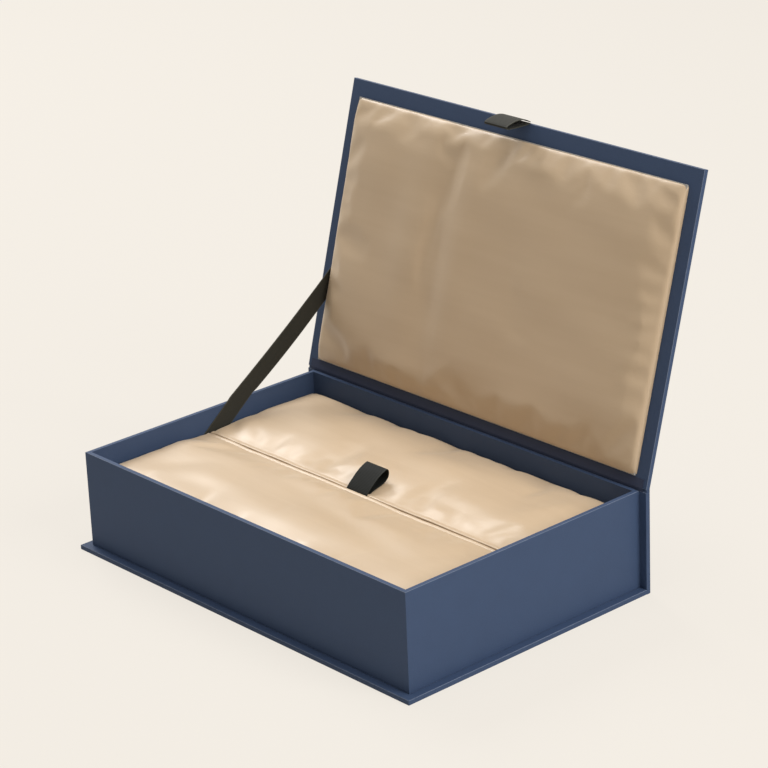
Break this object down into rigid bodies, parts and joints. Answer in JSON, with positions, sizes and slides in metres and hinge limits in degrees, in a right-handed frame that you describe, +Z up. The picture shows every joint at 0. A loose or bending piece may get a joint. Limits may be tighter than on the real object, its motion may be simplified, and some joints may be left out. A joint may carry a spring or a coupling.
{
  "type": "rigid gift box",
  "caption": "Book-style rigid gift box: paper-wrapped case and tray, hinged padded lid on a ribbon stay, and a padded satin insert lifted by a ribbon loop",
  "frame": {"origin": "centre of the case's underside, on the surface that the box stands on", "axes": "+Z up out of the underside, +X to the box's right seen from its front, +Y to the rear, where the lid hinges"},
  "size_m": [0.25, 0.2043, 0.2123],
  "materials": {
    "greyboard": "raw grey board",
    "covering_paper": "fine uncoated navy covering paper",
    "lining_paper": "smooth navy lining paper",
    "paper_tape": "brown gummed tape",
    "satin": "champagne satin",
    "wadding": "white polyester wadding",
    "stay_ribbon": "olive-black flat ribbon",
    "tab_ribbon": "dark olive grosgrain",
    "loop_ribbon": "charcoal grosgrain"
  },
  "bodies": {
    "tray": {"base_board": "greyboard", "base_wrap": "covering_paper", "spine_board": "greyboard", "spine_wrap": "covering_paper", "tray_floor": "greyboard", "front_wall": "greyboard", "rear_wall": "greyboard", "left_wall": "greyboard", "right_wall": "greyboard", "corner_tapes": "paper_tape", "tray_wrap": "covering_paper", "tray_lining": "lining_paper", "front_collar": "greyboard", "rear_collar": "greyboard", "left_collar": "greyboard", "right_collar": "greyboard", "hinge_strip": "covering_paper", "hinge_lining": "lining_paper", "stay_ribbon": "stay_ribbon"},
    "lid": {"lid_board": "greyboard", "lid_wrap": "covering_paper", "lid_pad_card": "greyboard", "lid_pad_wadding": "wadding", "lid_pad_satin": "satin", "tab_end": "tab_ribbon"},
    "tab": {"lid_tab": "tab_ribbon"},
    "insert": {"insert_board": "greyboard", "insert_backing": "lining_paper", "front_wadding": "wadding", "rear_wadding": "wadding", "front_satin": "satin", "rear_satin": "satin", "pull_loop": "loop_ribbon", "loop_tape": "paper_tape"}
  },
  "joints": [
    {"name": "lid_hinge", "type": "hinge", "parent": "tray", "child": "lid", "pos_m": [0, 0.08001, 0.0563], "axis": [1, 0, 0], "range_deg": [0, 105.5], "deforming": ["stay_ribbon", "hinge_strip", "hinge_lining", "pull_loop"]},
    {"name": "tab_flex", "type": "hinge", "parent": "lid", "child": "tab", "pos_m": [0, 0.12095, 0.20877], "axis": [1, 0, 0], "range_deg": [-105.5, 0]},
    {"name": "insert_lift", "type": "slide", "parent": "tray", "child": "insert", "axis": [0, 0, 1], "range_m": [0, 0.06]}
  ],
  "couplings": [
    {"joint": "tab_flex", "follows": "lid_hinge", "ratio": -1}
  ]
}
